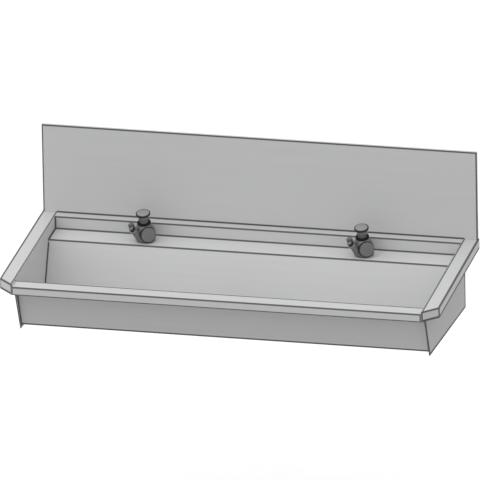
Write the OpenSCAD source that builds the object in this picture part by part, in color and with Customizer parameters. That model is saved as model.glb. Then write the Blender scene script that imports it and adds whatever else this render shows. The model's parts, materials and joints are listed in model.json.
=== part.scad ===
// Wall-hung wash trough for two people, in folded stainless sheet, with a high splashback,
// a tap ledge and two push-button taps. Millimetres, +Z up, +X to the right, front towards -Y.
// The origin is the centre of the four wall fixings, on the wall plane.

/* [Overall] */
// Width over the two end rims
overall_w = 1200; // [1000:10:1600]
// Distance from the splashback face to the front of the end rims
rim_depth = 540; // [480:5:600]
// Height of the end rims above the centre of the wall fixings
rim_z = 120; // [115:1:140]
// Thickness of the stainless sheet
sheet_t = 1.5; // [1:0.1:2]
// Outside radius of the ordinary folds
fold_r = 3; // [2.5:0.1:4]
// Outside radius of the folds along the basin floor
floor_fold_r = 12; // [6:1:20]

/* [Splashback] */
// Height of the splashback above the end rims
splash_h = 250; // [100:5:400]
// How far each end of the splashback stands in from the end rims
splash_inset = 2.5; // [0:0.5:10]
// Distance from the wall to the face of the splashback
splash_back = 10; // [8:1:25]

/* [Rims] */
// Width of the two end rims
rim_w = 40; // [30:1:45]
// Height of the turned-down edge of the end rims
rim_drop = 28.5; // [20:0.5:40]
// Width of the front rim
front_rim_w = 48; // [40:1:60]
// How far the front rim lies below the end rims
front_step = 5; // [2:0.5:8]
// How far the front rim stands out ahead of the end rims
front_proud = 4; // [3.5:0.5:8]
// Height of the front rim's turned-down nose
nose_h = 23.5; // [16:0.5:35]
// Depth of the lip folded back under the nose
nose_lip = 12; // [8:0.5:20]

/* [Ledge] */
// Depth of the level strip between the splashback and the step down to the ledge
strip_d = 32.5; // [20:0.5:45]
// Height of the step from the strip down to the ledge
ledge_drop = 35.5; // [25:0.5:50]
// Depth of the tap ledge
ledge_d = 79; // [70:1:100]
// Height of the flange folded down against the wall
wall_flange_h = 25; // [15:1:40]
// Distance of the welded seams below the ledge's front fold and the front rim's fold
seam_below = 8; // [6:0.5:15]

/* [Basin] */
// Depth of the basin at the front edge of its floor, below the end rims
basin_front_depth = 152; // [130:1:165]
// Lean of the basin's rear wall from the vertical
rear_lean = 25.6; // [15:0.1:30]
// Lean of the basin's front wall from the vertical
front_lean = 20.3; // [12:0.1:26]
// Fall of the floor towards the rear
floor_fall = 4.8; // [2:0.1:7]

/* [End panels] */
// How far the end panels reach below the basin floor
panel_below = 10; // [4:0.5:20]
// Lean of the front edge of the end panels from the vertical
panel_lean = 24.5; // [20:0.1:28]
// How far the panels stand ahead of the front wall at the floor
panel_ahead = 10; // [6:0.5:16]

/* [Waste] */
// Distance from the splashback face to the centre of the waste
waste_d = 225; // [215:1:330]
// Radius of the round recess pressed into the floor
recess_r = 50; // [46:0.5:58]
// Depth of the recess at the centre of the waste
recess_depth = 10; // [9:0.5:14]
// Radius of the waste flange
waste_flange_r = 42; // [38:0.5:44]
// Thickness of the waste flange
waste_flange_t = 3; // [2.5:0.5:5]
// Outside radius of the waste tail, inch and a half pipe thread
waste_tail_r = 23.9; // [20:0.1:26]
// Radius of the waterway through the waste tail
waste_bore_r = 20; // [16:0.5:20]
// Length of the waste tail below the recess
waste_tail_len = 46; // [40:1:80]
// Radius of the grate
grate_r = 34; // [28:0.5:36]
// Thickness of the grate
grate_t = 1.5; // [1:0.5:2]
// Radius of the round holes in the grate
grate_hole_r = 3; // [2:0.25:3.5]
// Number of holes in the grate's outer ring
grate_holes = 16; // [8:1:18]
// Thickness of the rubber seal under the waste flange
waste_seal_t = 2; // [1:0.5:3]
// How far that seal stands in from the edge of the flange
waste_seal_in = 1; // [0.5:0.5:3]
// Thickness of the washer under the floor
waste_washer_t = 3; // [2:0.5:5]
// Width across the flats of the waste nut
waste_nut_af = 62; // [58:1:70]
// Thickness of the waste nut
waste_nut_t = 8; // [6:0.5:12]

/* [Wall brackets] */
// Distance between the wall fixings across the trough
fixing_span = 800; // [600:10:900]
// Distance between the wall fixings up the bracket
fixing_rise = 90; // [60:1:92]
// Radius of the wall fixing holes
fixing_hole_r = 5.5; // [4:0.25:6.5]
// Thickness of the bracket steel
bracket_t = 4; // [3:0.5:6]
// Width of the bracket's flanges
bracket_w = 50; // [40:1:60]
// Distance from the fixing hole to the bracket's web
bracket_web_off = 24; // [18:1:26]
// Distance from the splashback face to the front end of the brackets
bracket_reach = 350; // [330:5:380]
// Height of the web below the arm, at the ends of the arm
bracket_tip_h = 10; // [6:1:16]
// Least distance from the lower fixing hole to the foot of the bracket
bracket_foot = 17; // [12:1:25]
// Radius of the studs under the floor
stud_r = 4; // [3:0.5:5]
// Length of the studs
stud_len = 20; // [18:1:26]
// Distance from the splashback face to the rear studs
stud_rear_d = 222; // [215:1:240]
// Distance between the front and rear studs
stud_pitch = 95; // [70:1:105]
// Radius of the washers on the studs
stud_washer_r = 8.4; // [7.5:0.1:10]
// Thickness of the washers on the studs
stud_washer_t = 1.6; // [1:0.1:2.5]
// Width across the flats of the nuts on the studs
stud_nut_af = 13; // [12:0.5:16]
// Thickness of the nuts on the studs
stud_nut_t = 6.5; // [5:0.5:8]

/* [Sound pads] */
// Width of each sound-deadening pad
pad_w = 230; // [120:5:240]
// Depth of each sound-deadening pad
pad_d = 180; // [100:5:210]
// Thickness of the sound-deadening pads
pad_t = 2.5; // [1:0.5:4]

/* [Taps] */
// Distance between the two taps
tap_span = 600; // [400:10:700]
// Largest radius of the tap body
tap_r = 28; // [26:0.5:30]
// Height of the tap body above the ledge
tap_body_h = 52.5; // [46:0.5:54]
// Height of the widest part of the tap body
tap_belly_z = 17; // [14:0.5:20]
// Radius of the curve down the side of the tap body
tap_side_r = 62; // [50:0.5:66]
// Thickness of the rubber seal under the tap
tap_seal_t = 1.5; // [1:0.1:3]
// How far that seal stands in from the foot of the tap body
tap_seal_in = 3; // [1:0.5:5]
// Thickness of the tap body's floor under the valve seat
tap_floor_t = 6; // [4:0.5:8]
// Radius of the threaded tail, half inch pipe thread
tap_tail_r = 10.48; // [9:0.01:11]
// Length of the threaded tail below the ledge
tap_tail_len = 50; // [40:1:80]
// Radius of the waterway up the tail
tap_bore_r = 6; // [4:0.25:7]
// Outside radius of the black collar
collar_r = 18.2; // [16:0.1:20]
// Height of the black collar
collar_h = 5; // [3:0.5:7]
// Width across the flats of the back nut
tap_nut_af = 32; // [28:0.5:36]
// Thickness of the back nut
tap_nut_t = 8; // [6:0.5:10]
// Thickness of the washer under the back plate
tap_washer_t = 2; // [1:0.5:3]
// Width of the plate under the ledge
back_plate_w = 70; // [60:1:90]
// Depth of the plate under the ledge
back_plate_d = 56; // [50:1:60]
// Thickness of the plate under the ledge
back_plate_t = 3; // [2:0.5:4]

/* [Lean] */
// Lean of the tap's upper half towards the front
tap_lean = 12; // [0:0.5:14]
// Turn of that lean to the left of straight ahead
lean_turn = 8; // [0:1:40]

/* [Push button] */
// Travel of the push button
button_travel = 8; // [4:0.5:9]
// Radius of the push button
button_r = 19.5; // [17:0.5:22]
// Height of the push button's straight edge
button_edge_h = 4.5; // [2:0.5:6]
// Height of the button's shallow dome
button_dome_h = 2.5; // [1:0.5:4]
// Outside radius of the sleeve under the button
sleeve_r = 14; // [13.5:0.25:15]
// Radial clearance of the sleeve round the neck
sleeve_gap = 0.3; // [0.2:0.05:0.5]
// Gap left above the neck and the collar when the button is pressed
press_gap = 1; // [0.5:0.25:2]
// Radius of the stem under the button
stem_r = 4; // [3:0.25:5]
// How far the stem reaches below the valve head
stem_below = 10; // [6:0.5:12]
// Room left under the pressed stem
stem_room = 1; // [0.5:0.25:2]
// Radius of the valve head's neck
neck_r = 12; // [11:0.25:13]
// Height of the neck above the collar
neck_h = 14; // [10:0.5:18]
// Radius of the spring chamber
chamber_r = 8; // [7:0.25:9]
// Thickness of the floor and the roof of the spring chamber
chamber_wall = 3; // [2:0.5:4]
// Thickness of the stem's piston in the spring chamber
piston_t = 3; // [2:0.5:4]
// Width of the shoulder that the valve head stands on
shoulder = 1; // [0.5:0.25:2]
// Radius of the waterway through the valve seat
seat_bore_r = 2; // [1:0.25:2.5]
// Height of the spring at rest
spring_h = 18; // [15:0.5:20]
// Number of turns in the spring
spring_turns = 6; // [4:1:7]
// Radius of the spring wire
spring_wire_r = 0.75; // [0.5:0.05:0.8]

/* [Spout] */
// Turn of the spout to the left of straight ahead
spout_turn = 42; // [30:0.5:50]
// Rise of the spout above the level
spout_rise = 47; // [44:0.5:54]
// How far to the left of the tap's axis the spout starts, below zero to the right
spout_side = -2; // [-4:0.5:4]
// Height of the spout's centre line where it leaves the tap's axis
spout_z = -6; // [-8:0.5:0]
// Distance from the tap's axis to the end of the spout cone
spout_len = 63; // [56:0.5:66]
// Radius at the root of the spout cone
spout_root_r = 19; // [14:0.5:20]
// Radius at the end of the spout cone
spout_tip_r = 7.6; // [7.5:0.1:8.5]
// Radius of the waterway through the spout
spout_bore_r = 4; // [3:0.25:4.5]
// Radius of the passage from the valve to the spout
port_r = 2.5; // [1.5:0.25:3]
// Height of the passage from the valve to the spout
port_z = 22; // [20:0.5:24]
// Radius of the jet in the outlet ring
jet_r = 5; // [4.5:0.25:5.5]
// Radius of the hole in the jet
jet_bore_r = 2; // [1:0.25:2.5]
// How far the jet stands in from the end of the outlet ring
jet_in = 1; // [0.5:0.25:3]
// Outside radius of the outlet ring
outlet_r = 7.2; // [6.5:0.1:7.4]
// Length of the outlet ring beyond the spout cone
outlet_len = 8; // [5:0.5:12]
// Outside radius of the hood behind the outlet
hood_r = 10.5; // [9:0.25:11]
// Wall of the hood behind the outlet
hood_t = 1.4; // [1.2:0.1:1.8]
// Radius of the hood's arched top edge
hood_top_r = 16; // [11:0.5:17]
// Length of the hood from the end of the spout
hood_len = 18.5; // [18:0.5:30]
// Height of the hood's ring round the end of the spout
hood_ring_h = 4; // [3:0.5:6]
// Lean of the hood away from the outlet
hood_lean = 22; // [10:0.5:25]
// Turn of the hood round the spout, to the left
hood_turn = 30; // [0:1:40]

/* [Front cap] */
// Turn of the front cap to the right of straight ahead
cap_turn = 30; // [20:0.5:36]
// Upward tilt of the front cap
cap_tilt = 8; // [0:0.5:12]
// Height of the front cap's centre line where it leaves the tap's axis
cap_z = 21.5; // [20:0.25:23]
// Radius of the front cap
cap_r = 21; // [16:0.5:22]
// How far the boss behind the front cap stands in from the cap's edge
cap_rim = 1; // [0.5:0.25:2]
// Thickness of the front cap
cap_t = 3.5; // [2:0.5:5]
// Distance from the tap's axis to the seat of the front cap
cap_seat = 26; // [25:0.5:27]
// Radius of the spigot behind the front cap
cap_spigot_r = 6; // [4:0.5:7]
// Length of the spigot behind the front cap
cap_spigot_len = 8; // [5:0.5:10]

/* [Fits] */
// Radial clearance of running and screwed fits
fit_gap = 0.05; // [0.02:0.01:0.1]
// Radial clearance of bolts and tails in their holes
hole_gap = 0.5; // [0.2:0.1:1]
// Gap at the stop that the pressed stem comes back to
stop_gap = 0.3; // [0.1:0.05:0.5]
// Width of the groove round a tail below its nut
groove_w = 2; // [1:0.25:3]
// Depth of the groove round a tail below its nut
groove_t = 1; // [0.5:0.25:1.5]

/* [Hidden] */
$fn = 72;

steel = [0.78, 0.79, 0.80];
steel_dark = [0.52, 0.53, 0.55];
galvanised = [0.60, 0.62, 0.64];
rubber = [0.10, 0.10, 0.11];
brass = [0.74, 0.62, 0.34];

// ---- Places, in the rim frame: d forward of the splashback face, z above the end rims ----
end_x = overall_w / 2 - rim_w;
panel_in_x = end_x - sheet_t;
wall_plane_d = -splash_back;
ledge_z = -ledge_drop;
ledge_front_d = strip_d + ledge_d;
nose_d = rim_depth + front_proud;
front_rim_z = -front_step;
nose_foot_z = front_rim_z - nose_h;
front_wall_top_d = nose_d - front_rim_w;
floor_front_z = -basin_front_depth;
floor_front_d = front_wall_top_d - (front_rim_z - floor_front_z) * tan(front_lean);

// Height of the floor's upper surface at a distance d, and where it meets the rear wall
function floor_z(d) = floor_front_z - (floor_front_d - d) * tan(floor_fall);
floor_rear_d = (ledge_front_d + (ledge_z - floor_z(0)) * tan(rear_lean))
    / (1 + tan(floor_fall) * tan(rear_lean));
floor_rear_z = floor_z(floor_rear_d);

// Height of the floor's underside at a distance d
function underside_z(d) = floor_z(d) - sheet_t / cos(floor_fall);

// Distance d of the end panels' front edge at a height z
panel_tip_z = floor_front_z - panel_below;
panel_tip_d = floor_front_d + panel_ahead - panel_below * tan(panel_lean);
function panel_front_d(z) = panel_tip_d + (z - panel_tip_z) * tan(panel_lean);

// Across-flats width turned into the radius of a hexagon's corners
function hex_r(af) = af / 2 / cos(30);

tap_d = strip_d + ledge_d / 2;
recess_z = floor_z(waste_d) - recess_depth;
waste_hole_r = waste_tail_r + hole_gap;
tap_hole_r = tap_tail_r + hole_gap;
stud_hole_r = stud_r + hole_gap;
cut = 1;

// ---- Helpers ----

// Moves the rim frame's children, drawn with y = -d, into the part's frame
module from_rims() {
    translate([0, -splash_back, rim_z]) children();
}

// Stretches a [d, z] section from x0 to x1
module along_x(x0, x1) {
    translate([x1, 0, 0]) rotate([90, 0, -90]) linear_extrude(x1 - x0) children();
}

// Round fold at b between a and c, as points on an arc of radius r
fold_steps = 6;
function unit(v) = v / norm(v);
function turn(v, angle) = [v.x * cos(angle) - v.y * sin(angle), v.x * sin(angle) + v.y * cos(angle)];
function fold(a, b, c, r) =
    let (
        back = unit(a - b),
        ahead = unit(c - b),
        half = acos(back * ahead) / 2,
        centre = b + unit(back + ahead) * r / sin(half),
        start = b + back * r / tan(half) - centre,
        side = cross(-back, ahead) > 0 ? 1 : -1
    )
    [for (i = [0:fold_steps]) centre + turn(start, side * (180 - 2 * half) * i / fold_steps)];

// A folded line through points [d, z, fold radius]
function flat_point(p) = [p[0], p[1]];
function folded_line(p) = concat(
    [flat_point(p[0])],
    [for (i = [1:len(p) - 2])
        each fold(flat_point(p[i - 1]), flat_point(p[i]), flat_point(p[i + 1]), p[i][2])],
    [flat_point(p[len(p) - 1])]
);

// The same line moved to its right by t
function right_of(a, b) = let (u = unit(b - a)) [u.y, -u.x];
function moved_right(line, t) = [
    for (i = [0:len(line) - 1])
        let (
            before = right_of(line[max(i - 1, 0)], line[max(i, 1)]),
            after = right_of(line[min(i, len(line) - 2)], line[min(i + 1, len(line) - 1)])
        )
        line[i] + (before + after) * t / (1 + before * after)
];

// Section of a folded sheet whose seen side is the line
module sheet_section(points, t) {
    line = folded_line(points);
    under = moved_right(line, t);
    polygon(concat(line, [for (i = [len(under) - 1:-1:0]) under[i]]));
}

// Ring round the z axis from z0 to z1
module ring(r_out, r_in, z0, z1) {
    difference() {
        translate([0, 0, z0]) cylinder(r = r_out, h = z1 - z0);
        translate([0, 0, z0 - cut]) cylinder(r = r_in, h = z1 - z0 + 2 * cut);
    }
}

// What the groove round a tail takes off, its upper edge at z
module groove(r, z) {
    ring(r + cut, r - groove_t, z - groove_w, z);
}

// Hexagon nut round the z axis from z0 to z1
module hex_nut(af, r_in, z0, z1) {
    difference() {
        translate([0, 0, z0]) cylinder(r = hex_r(af), h = z1 - z0, $fn = 6);
        translate([0, 0, z0 - cut]) cylinder(r = r_in, h = z1 - z0 + 2 * cut);
    }
}

// ---- Sheet metal ----

// Ends of the three welded sheets, on the rear and front walls of the basin
ledge_fold = [ledge_front_d, ledge_z];
rear_corner = [floor_rear_d, floor_rear_z];
front_corner = [floor_front_d, floor_front_z];
rim_fold = [front_wall_top_d, front_rim_z];
rear_seam = ledge_fold + unit(rear_corner - ledge_fold) * seam_below;
front_seam = rim_fold + unit(front_corner - rim_fold) * seam_below;

// Sheet from the wall flange over the strip, the step and the ledge
module tap_ledge() {
    color(steel) from_rims() difference() {
        along_x(-panel_in_x, panel_in_x) sheet_section([
            [wall_plane_d, -wall_flange_h, 0],
            [wall_plane_d, 0, fold_r],
            [strip_d, 0, fold_r],
            [strip_d, ledge_z, fold_r],
            [ledge_fold.x, ledge_fold.y, fold_r],
            [rear_seam.x, rear_seam.y, 0]
        ], sheet_t);
        for (side = [-1, 1])
            translate([side * tap_span / 2, -tap_d, ledge_z - 2 * sheet_t])
                cylinder(r = tap_hole_r, h = 3 * sheet_t);
    }
}

// Sheet of the rear wall, the floor and the front wall
module basin_sheet() {
    along_x(-panel_in_x, panel_in_x) sheet_section([
        [rear_seam.x, rear_seam.y, 0],
        [rear_corner.x, rear_corner.y, floor_fold_r],
        [front_corner.x, front_corner.y, floor_fold_r],
        [front_seam.x, front_seam.y, 0]
    ], sheet_t);
}

// Sheet of the front rim, its nose and the lip under it
module front_rim() {
    color(steel) from_rims() along_x(-panel_in_x, panel_in_x) sheet_section([
        [front_seam.x, front_seam.y, 0],
        [rim_fold.x, rim_fold.y, fold_r],
        [nose_d, front_rim_z, fold_r],
        [nose_d, nose_foot_z, fold_r],
        [nose_d - nose_lip, nose_foot_z, 0]
    ], sheet_t);
}

// The round recess for the waste, cut off level with the sloping floor
module waste_recess() {
    intersection() {
        translate([0, -waste_d, 0]) difference() {
            translate([0, 0, recess_z - sheet_t])
                cylinder(r = recess_r + sheet_t, h = -recess_z);
            translate([0, 0, recess_z]) cylinder(r = recess_r, h = -recess_z + cut);
        }
        along_x(-2 * recess_r, 2 * recess_r) polygon([
            [waste_d - 2 * recess_r, floor_z(waste_d - 2 * recess_r)],
            [waste_d + 2 * recess_r, floor_z(waste_d + 2 * recess_r)],
            [waste_d + 2 * recess_r, recess_z - 2 * recess_r],
            [waste_d - 2 * recess_r, recess_z - 2 * recess_r]
        ]);
    }
}

module basin() {
    color(steel) from_rims() difference() {
        union() {
            difference() {
                basin_sheet();
                translate([0, -waste_d, recess_z]) cylinder(r = recess_r, h = -recess_z);
            }
            waste_recess();
        }
        translate([0, -waste_d, recess_z - 2 * sheet_t])
            cylinder(r = waste_hole_r, h = 3 * sheet_t);
    }
}

// A shallow tray, open towards the wall, that stands on the strip and the end rims
module splashback() {
    splash_x = overall_w / 2 - splash_inset;
    color(steel) from_rims() difference() {
        translate([-splash_x, 0, 0]) cube([2 * splash_x, splash_back, splash_h]);
        translate([-splash_x + sheet_t, sheet_t, sheet_t])
            cube([2 * (splash_x - sheet_t), splash_back, splash_h - 2 * sheet_t]);
    }
}

// A flat end that also closes the nose of the front rim, on the right hand side
module end_panel() {
    nose_top = [nose_d, front_rim_z];
    nose_foot = [nose_d, nose_foot_z];
    under_nose = [panel_front_d(nose_foot_z), nose_foot_z];
    along_x(panel_in_x, end_x) polygon(concat(
        [[wall_plane_d, 0], [rim_depth, 0], [rim_depth, front_rim_z]],
        fold([rim_depth, front_rim_z], nose_top, nose_foot, fold_r),
        fold(nose_top, nose_foot, under_nose, fold_r),
        [
            under_nose,
            [panel_tip_d, panel_tip_z],
            [wall_plane_d, panel_tip_z - (panel_tip_d - wall_plane_d) * tan(floor_fall)]
        ]
    ));
}

module left_end_panel() {
    color(steel) from_rims() mirror([1, 0, 0]) end_panel();
}

module right_end_panel() {
    color(steel) from_rims() end_panel();
}

// Plan of an end rim, its front corner cut off at 45 degrees. It is drawn in from the outer and
// front edges, and reaches past the inner and rear edges.
module rim_plan(in, past) {
    polygon([
        [end_x - past, splash_back + past],
        [end_x - past, -rim_depth + in / cos(45) - past],
        [overall_w / 2 - in, -rim_depth + rim_w + in * tan(22.5)],
        [overall_w / 2 - in, splash_back + past]
    ]);
}

// A turned-down rim, on the right hand side
module end_rim() {
    difference() {
        translate([0, 0, -rim_drop]) linear_extrude(rim_drop) rim_plan(0, 0);
        translate([0, 0, -rim_drop - cut])
            linear_extrude(rim_drop + cut - sheet_t) rim_plan(sheet_t, cut);
    }
}

module left_end_rim() {
    color(steel) from_rims() mirror([1, 0, 0]) end_rim();
}

module right_end_rim() {
    color(steel) from_rims() end_rim();
}

// ---- Wall brackets and what holds the trough on them ----

// Puts children at the floor's underside, their z axis square to the floor
module under_floor(x, d) {
    translate([x, -d, underside_z(d)]) rotate([-floor_fall, 0, 0]) children();
}

arm_rear_d = floor_rear_d + floor_fold_r;
arm_drop = bracket_t / cos(floor_fall);
bracket_top_z = -rim_z + fixing_rise / 2 + bracket_w / 2;
bracket_foot_z = min(
    -rim_z - fixing_rise / 2 - bracket_foot,
    underside_z(arm_rear_d) - arm_drop - bracket_tip_h
);
web_x = fixing_span / 2 - bracket_web_off;

// Section of the arm that lies along the floor's underside
module arm_section() {
    polygon([
        [arm_rear_d, underside_z(arm_rear_d)],
        [bracket_reach, underside_z(bracket_reach)],
        [bracket_reach, underside_z(bracket_reach) - arm_drop],
        [arm_rear_d, underside_z(arm_rear_d) - arm_drop]
    ]);
}

// Section of the web between the wall leg and the arm
module web_section() {
    polygon([
        [wall_plane_d, bracket_top_z],
        [wall_plane_d + bracket_t, bracket_top_z],
        [floor_rear_d, underside_z(floor_rear_d) - stop_gap],
        [arm_rear_d, underside_z(arm_rear_d) - arm_drop / 2],
        [bracket_reach, underside_z(bracket_reach) - arm_drop / 2],
        [bracket_reach, underside_z(bracket_reach) - arm_drop - bracket_tip_h],
        [wall_plane_d, bracket_foot_z]
    ]);
}

// A pressed bracket on the right hand side: wall leg, web and arm
module wall_bracket() {
    difference() {
        union() {
            translate([web_x, splash_back - bracket_t, bracket_foot_z])
                cube([bracket_w, bracket_t, bracket_top_z - bracket_foot_z]);
            along_x(web_x, web_x + bracket_t) web_section();
            along_x(web_x, web_x + bracket_w) arm_section();
        }
        for (up = [-1, 1])
            translate([fixing_span / 2, splash_back + cut, -rim_z + up * fixing_rise / 2])
                rotate([90, 0, 0]) cylinder(r = fixing_hole_r, h = bracket_t + 2 * cut);
        for (d = [stud_rear_d, stud_rear_d + stud_pitch])
            under_floor(fixing_span / 2, d)
                translate([0, 0, -2 * bracket_t]) cylinder(r = stud_hole_r, h = 3 * bracket_t);
    }
}

module left_wall_bracket() {
    color(galvanised) from_rims() mirror([1, 0, 0]) wall_bracket();
}

module right_wall_bracket() {
    color(galvanised) from_rims() wall_bracket();
}

// Copies children to the four studs
module at_studs() {
    for (side = [-1, 1])
        for (d = [stud_rear_d, stud_rear_d + stud_pitch])
            under_floor(side * fixing_span / 2, d) children();
}

module floor_studs() {
    color(steel_dark) from_rims() at_studs()
        translate([0, 0, -stud_len]) cylinder(r = stud_r, h = stud_len);
}

module stud_washers() {
    color(galvanised) from_rims() at_studs()
        ring(stud_washer_r, stud_r + fit_gap, -bracket_t - stud_washer_t, -bracket_t);
}

module stud_nuts() {
    nut_top = -bracket_t - stud_washer_t;
    color(galvanised) from_rims() at_studs()
        hex_nut(stud_nut_af, stud_r + fit_gap, nut_top - stud_nut_t, nut_top);
}

// Two pads stuck to the floor's underside, one each side of the waste
module sound_pads() {
    pad_mid_x = (recess_r + sheet_t + web_x) / 2;
    pad_mid_d = (arm_rear_d + floor_front_d - floor_fold_r) / 2;
    color(rubber) from_rims() for (side = [-1, 1])
        under_floor(side * pad_mid_x, pad_mid_d)
            translate([-pad_w / 2, -pad_d / 2, -pad_t]) cube([pad_w, pad_d, pad_t]);
}

// ---- Waste ----

flange_z = recess_z + waste_seal_t;
grate_z = flange_z + waste_flange_t - grate_t;
tail_end_z = recess_z - waste_tail_len;
waste_nut_top = recess_z - sheet_t - waste_washer_t;
screw_r = 3;
screw_head_r = 6;
screw_head_h = 1.5;
screw_slot_w = 1;
spider_w = 8;

// Moves children to the centre of the waste
module at_waste() {
    translate([0, -waste_d, 0]) children();
}

// Flange and threaded tail, with a cross bar that carries the grate's screw
module waste_body() {
    color(steel_dark) from_rims() at_waste() difference() {
        union() {
            difference() {
                union() {
                    translate([0, 0, flange_z]) cylinder(r = waste_flange_r, h = waste_flange_t);
                    translate([0, 0, tail_end_z]) cylinder(r = waste_tail_r, h = flange_z - tail_end_z);
                }
                translate([0, 0, tail_end_z - cut])
                    cylinder(r = waste_bore_r, h = flange_z - tail_end_z + 2 * cut + waste_flange_t);
                translate([0, 0, grate_z]) cylinder(r = grate_r + hole_gap, h = grate_t + cut);
            }
            intersection() {
                translate([-waste_tail_r, -spider_w / 2, recess_z - spider_w])
                    cube([2 * waste_tail_r, spider_w, spider_w]);
                translate([0, 0, recess_z - spider_w]) cylinder(r = waste_bore_r + fit_gap, h = spider_w);
            }
        }
        translate([0, 0, recess_z - spider_w - cut])
            cylinder(r = screw_r + fit_gap, h = spider_w + 2 * cut);
        groove(waste_tail_r, waste_nut_top - waste_nut_t - groove_w);
    }
}

module waste_seal() {
    color(rubber) from_rims() at_waste()
        ring(waste_flange_r - waste_seal_in, waste_hole_r, recess_z, flange_z);
}

// Round plate with rings of holes
module waste_grate() {
    color(steel) from_rims() at_waste() difference() {
        translate([0, 0, grate_z]) cylinder(r = grate_r, h = grate_t);
        translate([0, 0, grate_z - cut]) {
            cylinder(r = screw_r + fit_gap, h = grate_t + 2 * cut);
            for (i = [0:grate_holes - 1])
                rotate(i * 360 / grate_holes) translate([grate_r - 3 * grate_hole_r, 0, 0])
                    cylinder(r = grate_hole_r, h = grate_t + 2 * cut, $fn = 32);
            for (i = [0:grate_holes / 2 - 1])
                rotate((i + 0.5) * 720 / grate_holes) translate([grate_r / 2 - grate_hole_r, 0, 0])
                    cylinder(r = grate_hole_r, h = grate_t + 2 * cut, $fn = 32);
        }
    }
}

module grate_screw() {
    head_z = grate_z + grate_t;
    color(steel_dark) from_rims() at_waste() difference() {
        union() {
            translate([0, 0, recess_z - spider_w]) cylinder(r = screw_r, h = head_z - recess_z + spider_w);
            translate([0, 0, head_z])
                cylinder(r1 = screw_head_r, r2 = 0.8 * screw_head_r, h = screw_head_h);
        }
        translate([-screw_head_r, -screw_slot_w / 2, head_z + screw_head_h / 2])
            cube([2 * screw_head_r, screw_slot_w, screw_head_h]);
    }
}

module waste_washer() {
    color(rubber) from_rims() at_waste()
        ring(waste_nut_af / 2, waste_hole_r, waste_nut_top, recess_z - sheet_t);
}

module waste_nut() {
    color(brass) from_rims() at_waste()
        hex_nut(waste_nut_af, waste_tail_r + fit_gap, waste_nut_top - waste_nut_t, waste_nut_top);
}

// ---- Taps, drawn round the z axis with z = 0 on the ledge and the front towards -y ----

// Moves a tap's children to its place; side is -1 for the left tap and 1 for the right
module at_tap(side) {
    from_rims() translate([side * tap_span / 2, -tap_d, ledge_z]) children();
}

plate_foot = -sheet_t - back_plate_t;
nut_head = plate_foot - tap_washer_t;
collar_top = tap_body_h + collar_h;
neck_top = collar_top + neck_h;
button_z = neck_top + press_gap + button_travel;
sleeve_len = button_z - button_travel - press_gap - collar_top;
spring_top = neck_top - chamber_wall - piston_t;
spring_foot = spring_top - spring_h;
chamber_foot = spring_foot - chamber_wall;
seat_foot = tap_seal_t + tap_floor_t;
seat_r = neck_r - shoulder;
stem_foot = chamber_foot - stem_below;

// Radius of the tap body at a height z
function tap_side(z) = tap_r - tap_side_r + sqrt(pow(tap_side_r, 2) - pow(z - tap_belly_z, 2));

// The belly is drawn on below the ledge, and its foot is then cut off level
belly_foot = -tap_belly_z / 2;
side_steps = 20;
module tap_belly() {
    rotate_extrude() polygon(concat(
        [[0, belly_foot]],
        [for (i = [0:side_steps])
            let (z = belly_foot + (tap_body_h - belly_foot) * i / side_steps)
            [tap_side(z), z]],
        [[0, tap_body_h]]
    ));
}

// Leans the z axis of the tap's upper half, about the middle of the belly
module leaning() {
    translate([0, 0, tap_belly_z])
        rotate(tap_lean, [cos(lean_turn), -sin(lean_turn), 0])
            translate([0, 0, -tap_belly_z]) children();
}

// Turns the z axis along the spout
module along_spout() {
    translate([-spout_side, 0, spout_z]) rotate([0, 90 - spout_rise, -90 - spout_turn]) children();
}

// Turns the z axis towards the front cap
module along_cap() {
    translate([0, 0, cap_z]) rotate([0, 90 - cap_tilt, -90 + cap_turn]) children();
}

// Radius of the spout cone at a distance along it
function spout_r(z) = spout_root_r + (spout_tip_r - spout_root_r) * z / spout_len;

// Level passage from the valve's axis to the spout's
port_run = (port_z - spout_z) / tan(spout_rise);
port_end = [spout_side + port_run * sin(spout_turn), port_run * cos(spout_turn)];
module outlet_port() {
    translate([0, 0, port_z]) rotate([0, 90, -90 - atan2(port_end.x, port_end.y)])
        cylinder(r = port_r, h = norm(port_end));
}

// Belly, spout cone and threaded tail, bored for the valve and the water
module tap_body(side) {
    color(steel_dark) at_tap(side) difference() {
        union() {
            difference() {
                union() {
                    leaning() tap_belly();
                    along_cap() cylinder(r = cap_r - cap_rim, h = cap_seat);
                    along_spout() cylinder(r1 = spout_root_r, r2 = spout_tip_r, h = spout_len);
                }
                translate([0, 0, tap_seal_t - 2 * tap_r]) cylinder(r = 3 * tap_r, h = 2 * tap_r);
                along_cap() translate([0, 0, cap_seat]) cylinder(r = cap_r + hole_gap, h = 2 * cap_t);
            }
            translate([0, 0, -tap_tail_len]) cylinder(r = tap_tail_r, h = tap_tail_len + tap_belly_z);
        }
        leaning() {
            translate([0, 0, chamber_foot]) cylinder(r = neck_r + fit_gap, h = tap_body_h);
            translate([0, 0, seat_foot]) cylinder(r = seat_r + fit_gap, h = tap_body_h);
        }
        translate([0, 0, -tap_tail_len - cut])
            cylinder(r = tap_bore_r, h = tap_tail_len + cut + 2 * seat_foot);
        groove(tap_tail_r, nut_head - tap_nut_t - groove_w);
        outlet_port();
        along_spout() translate([0, 0, (port_z - spout_z) / sin(spout_rise)])
            cylinder(r = spout_bore_r, h = spout_len);
        along_cap() translate([0, 0, cap_seat - cap_spigot_len - hole_gap])
            cylinder(r = cap_spigot_r + fit_gap, h = tap_r);
    }
}

module tap_seal(side) {
    color(rubber) at_tap(side) ring(tap_side(tap_seal_t) - tap_seal_in, tap_hole_r, 0, tap_seal_t);
}

module tap_washer(side) {
    color(rubber) at_tap(side) ring(tap_nut_af / 2, tap_hole_r, nut_head, plate_foot);
}

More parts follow.
